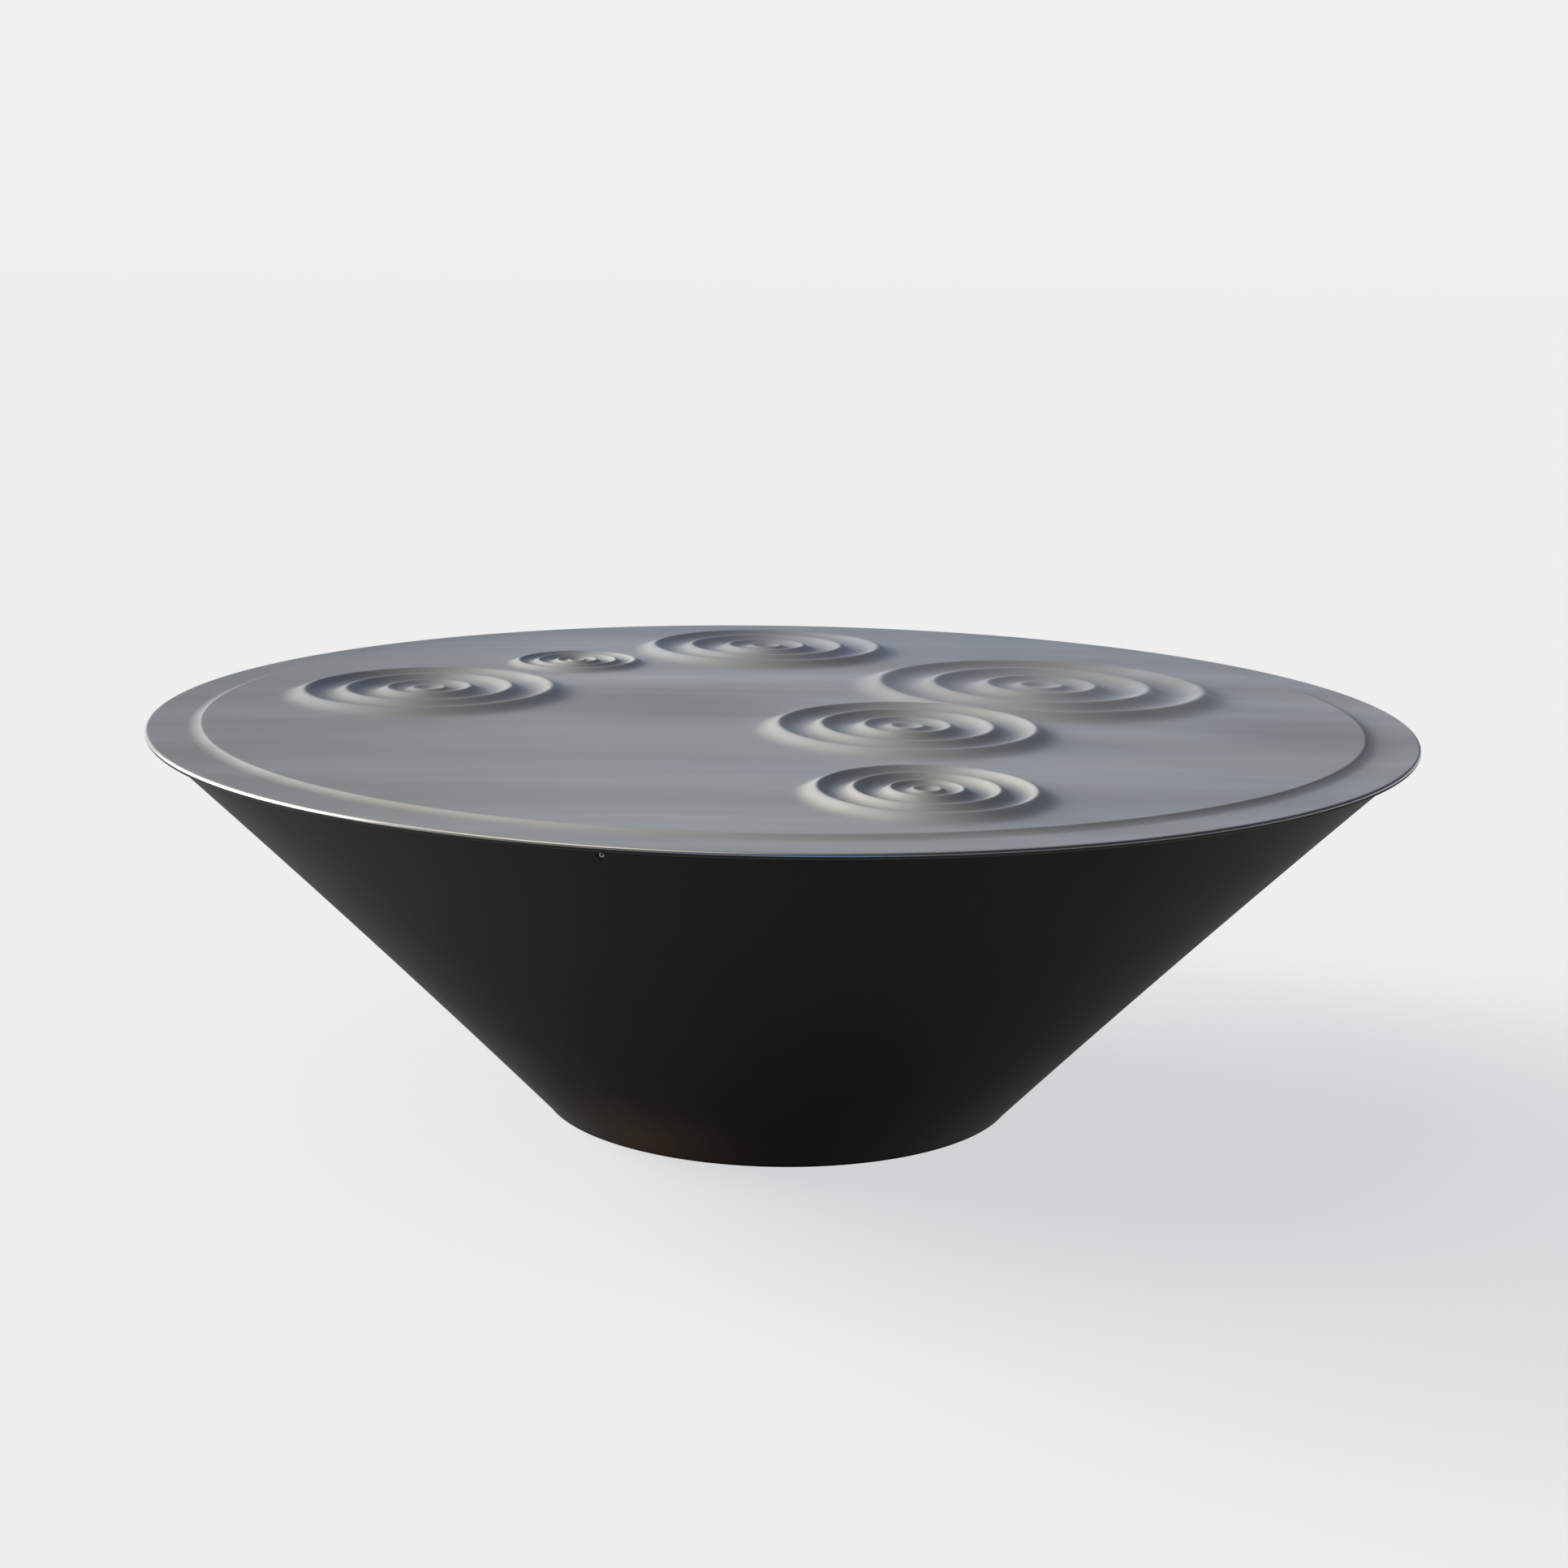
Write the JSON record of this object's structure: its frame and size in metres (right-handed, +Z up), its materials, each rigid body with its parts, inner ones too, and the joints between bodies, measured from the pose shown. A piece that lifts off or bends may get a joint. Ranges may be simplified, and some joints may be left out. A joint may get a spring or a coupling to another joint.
{
  "type": "tam tam gong",
  "caption": "Free-standing outdoor gong: a round stainless playing plate with raised ripple tone fields, locked on a black tapered steel body with a bolt-down foot.",
  "frame": {"origin": "centre of the foot, on the ground", "axes": "+Z up, square to the ground; -Y towards the side that the picture is taken from"},
  "size_m": [1.2998, 1.3, 0.428],
  "materials": {
    "gong_steel": "satin rolled stainless",
    "black_coat": "satin powder coat",
    "rubber": "matt moulded",
    "screw_steel": "bright machined",
    "nylon": "natural nylon"
  },
  "bodies": {
    "root": {"gong_plate": "gong_steel", "locating_ring": "gong_steel", "edge_gasket": "rubber", "mouth_ring": "black_coat", "body_shell": "black_coat", "base_plate": "black_coat", "ground_pad": "rubber", "lock_screw_1": "screw_steel", "screw_tip_1": "nylon", "lock_screw_2": "screw_steel", "screw_tip_2": "nylon", "lock_screw_3": "screw_steel", "screw_tip_3": "nylon", "gusset_1": "black_coat", "gusset_2": "black_coat", "gusset_3": "black_coat", "gusset_4": "black_coat", "gusset_5": "black_coat", "gusset_6": "black_coat", "gusset_7": "black_coat", "gusset_8": "black_coat"}
  },
  "joints": []
}
